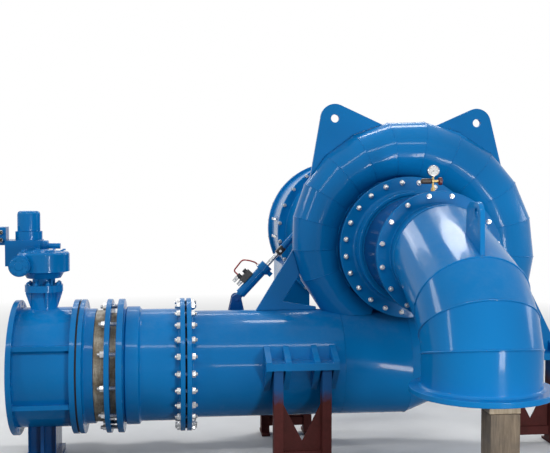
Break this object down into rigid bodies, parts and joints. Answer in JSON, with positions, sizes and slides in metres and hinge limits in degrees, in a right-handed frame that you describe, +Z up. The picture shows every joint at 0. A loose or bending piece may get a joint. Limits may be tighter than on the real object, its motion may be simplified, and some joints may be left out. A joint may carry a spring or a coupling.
{
  "type": "horizontal francis turbine generator set",
  "caption": "Horizontal Francis turbine set: inlet valve, dismantling joint, pipe on stands, mitred scroll case with guide vane gear and servomotor, draft bend, shaft and generator.",
  "frame": {"origin": "middle of the set's footprint on the floor", "axes": "+X along the inlet pipe towards the scroll case, +Y along the turbine axis from the draft bend to the generator, +Z up"},
  "size_m": [3.9314, 5.1966, 2.387],
  "materials": {
    "enamel_blue": "glossy enamel",
    "enamel_deep_blue": "glossy enamel",
    "bare_steel": "machined, lightly oiled",
    "primer_red": "matt red oxide primer",
    "timber": "sawn, weathered",
    "plank": "sawn, pale",
    "gauge_brass": "dull brass with a white dial",
    "rod_chrome": "polished",
    "block_black": "satin black"
  },
  "bodies": {
    "set": {"valve_body": "enamel_blue", "valve_disc": "bare_steel", "valve_foot": "enamel_deep_blue", "gear_mount": "enamel_blue", "worm_gearbox": "enamel_blue", "actuator_body": "enamel_blue", "actuator_motor": "enamel_deep_blue", "actuator_terminal_box": "enamel_blue", "joint_spigot": "enamel_blue", "joint_band": "bare_steel", "joint_gland_ring": "enamel_blue", "joint_tie_rods": "bare_steel", "spool_pipe": "enamel_blue", "inlet_pipe": "enamel_blue", "inlet_brackets": "enamel_blue", "inlet_stands": "primer_red", "scroll_foot": "enamel_blue", "scroll_stand": "primer_red", "scroll_case": "enamel_blue", "scroll_nose": "enamel_blue", "stay_ring": "enamel_deep_blue", "lifting_ears": "enamel_blue", "scroll_brace": "enamel_blue", "draft_cover": "enamel_blue", "draft_cone": "enamel_deep_blue", "draft_bend": "enamel_blue", "timber_block": "timber", "timber_plank": "plank", "pressure_gauge": "gauge_brass", "head_cover": "enamel_deep_blue", "servo_bracket": "enamel_deep_blue", "servo_cylinder": "enamel_blue", "servo_manifold": "block_black", "main_shaft": "bare_steel", "bearing_pedestal": "enamel_blue", "generator_frame": "enamel_blue", "generator_hood": "enamel_blue", "generator_rear_shield": "enamel_deep_blue", "generator_base": "enamel_blue"},
    "regulating_ring": {"regulating_ring": "enamel_blue"},
    "servo_rod": {"servo_rod": "rod_chrome"},
    "vane_arm_01": {"vane_arm_01": "bare_steel"},
    "vane_arm_02": {"vane_arm_02": "bare_steel"},
    "vane_arm_03": {"vane_arm_03": "bare_steel"},
    "vane_arm_04": {"vane_arm_04": "bare_steel"},
    "vane_arm_05": {"vane_arm_05": "bare_steel"},
    "vane_arm_06": {"vane_arm_06": "bare_steel"},
    "vane_arm_07": {"vane_arm_07": "bare_steel"},
    "vane_arm_08": {"vane_arm_08": "bare_steel"},
    "vane_arm_09": {"vane_arm_09": "bare_steel"},
    "vane_arm_10": {"vane_arm_10": "bare_steel"},
    "vane_arm_11": {"vane_arm_11": "bare_steel"},
    "vane_arm_12": {"vane_arm_12": "bare_steel"},
    "vane_arm_13": {"vane_arm_13": "bare_steel"},
    "vane_arm_14": {"vane_arm_14": "bare_steel"},
    "vane_arm_15": {"vane_arm_15": "bare_steel"},
    "vane_arm_16": {"vane_arm_16": "bare_steel"}
  },
  "joints": [
    {"name": "ring_turn", "type": "hinge", "parent": "set", "child": "regulating_ring", "pos_m": [0.83475, -0.22467, 1.412], "axis": [0, 1, 0], "range_deg": [-3.9, 3.9]},
    {"name": "servo_stroke", "type": "slide", "parent": "set", "child": "servo_rod", "axis": [0.682, 0, 0.7314], "range_m": [-0.038, 0.038]},
    {"name": "vane_turn_01", "type": "hinge", "parent": "set", "child": "vane_arm_01", "pos_m": [1.16475, -0.19167, 1.412], "axis": [0, 1, 0], "range_deg": [-13, 13]},
    {"name": "vane_turn_02", "type": "hinge", "parent": "set", "child": "vane_arm_02", "pos_m": [1.13963, -0.19167, 1.53829], "axis": [0, 1, 0], "range_deg": [-13, 13]},
    {"name": "vane_turn_03", "type": "hinge", "parent": "set", "child": "vane_arm_03", "pos_m": [1.0681, -0.19167, 1.64535], "axis": [0, 1, 0], "range_deg": [-13, 13]},
    {"name": "vane_turn_04", "type": "hinge", "parent": "set", "child": "vane_arm_04", "pos_m": [0.96104, -0.19167, 1.71688], "axis": [0, 1, 0], "range_deg": [-13, 13]},
    {"name": "vane_turn_05", "type": "hinge", "parent": "set", "child": "vane_arm_05", "pos_m": [0.83475, -0.19167, 1.742], "axis": [0, 1, 0], "range_deg": [-13, 13]},
    {"name": "vane_turn_06", "type": "hinge", "parent": "set", "child": "vane_arm_06", "pos_m": [0.70846, -0.19167, 1.71688], "axis": [0, 1, 0], "range_deg": [-13, 13]},
    {"name": "vane_turn_07", "type": "hinge", "parent": "set", "child": "vane_arm_07", "pos_m": [0.6014, -0.19167, 1.64535], "axis": [0, 1, 0], "range_deg": [-13, 13]},
    {"name": "vane_turn_08", "type": "hinge", "parent": "set", "child": "vane_arm_08", "pos_m": [0.52987, -0.19167, 1.53829], "axis": [0, 1, 0], "range_deg": [-13, 13]},
    {"name": "vane_turn_09", "type": "hinge", "parent": "set", "child": "vane_arm_09", "pos_m": [0.50475, -0.19167, 1.412], "axis": [0, 1, 0], "range_deg": [-13, 13]},
    {"name": "vane_turn_10", "type": "hinge", "parent": "set", "child": "vane_arm_10", "pos_m": [0.52987, -0.19167, 1.28571], "axis": [0, 1, 0], "range_deg": [-13, 13]},
    {"name": "vane_turn_11", "type": "hinge", "parent": "set", "child": "vane_arm_11", "pos_m": [0.6014, -0.19167, 1.17866], "axis": [0, 1, 0], "range_deg": [-13, 13]},
    {"name": "vane_turn_12", "type": "hinge", "parent": "set", "child": "vane_arm_12", "pos_m": [0.70846, -0.19167, 1.10712], "axis": [0, 1, 0], "range_deg": [-13, 13]},
    {"name": "vane_turn_13", "type": "hinge", "parent": "set", "child": "vane_arm_13", "pos_m": [0.83475, -0.19167, 1.082], "axis": [0, 1, 0], "range_deg": [-13, 13]},
    {"name": "vane_turn_14", "type": "hinge", "parent": "set", "child": "vane_arm_14", "pos_m": [0.96104, -0.19167, 1.10712], "axis": [0, 1, 0], "range_deg": [-13, 13]},
    {"name": "vane_turn_15", "type": "hinge", "parent": "set", "child": "vane_arm_15", "pos_m": [1.0681, -0.19167, 1.17866], "axis": [0, 1, 0], "range_deg": [-13, 13]},
    {"name": "vane_turn_16", "type": "hinge", "parent": "set", "child": "vane_arm_16", "pos_m": [1.13963, -0.19167, 1.28571], "axis": [0, 1, 0], "range_deg": [-13, 13]}
  ],
  "couplings": [
    {"joint": "servo_stroke", "follows": "ring_turn", "m_per_rad": 0.55217},
    {"joint": "vane_turn_01", "follows": "ring_turn", "ratio": 3.2759},
    {"joint": "vane_turn_02", "follows": "ring_turn", "ratio": 3.2759},
    {"joint": "vane_turn_03", "follows": "ring_turn", "ratio": 3.2759},
    {"joint": "vane_turn_04", "follows": "ring_turn", "ratio": 3.2759},
    {"joint": "vane_turn_05", "follows": "ring_turn", "ratio": 3.2759},
    {"joint": "vane_turn_06", "follows": "ring_turn", "ratio": 3.2759},
    {"joint": "vane_turn_07", "follows": "ring_turn", "ratio": 3.2759},
    {"joint": "vane_turn_08", "follows": "ring_turn", "ratio": 3.2759},
    {"joint": "vane_turn_09", "follows": "ring_turn", "ratio": 3.2759},
    {"joint": "vane_turn_10", "follows": "ring_turn", "ratio": 3.2759},
    {"joint": "vane_turn_11", "follows": "ring_turn", "ratio": 3.2759},
    {"joint": "vane_turn_12", "follows": "ring_turn", "ratio": 3.2759},
    {"joint": "vane_turn_13", "follows": "ring_turn", "ratio": 3.2759},
    {"joint": "vane_turn_14", "follows": "ring_turn", "ratio": 3.2759},
    {"joint": "vane_turn_15", "follows": "ring_turn", "ratio": 3.2759},
    {"joint": "vane_turn_16", "follows": "ring_turn", "ratio": 3.2759}
  ]
}
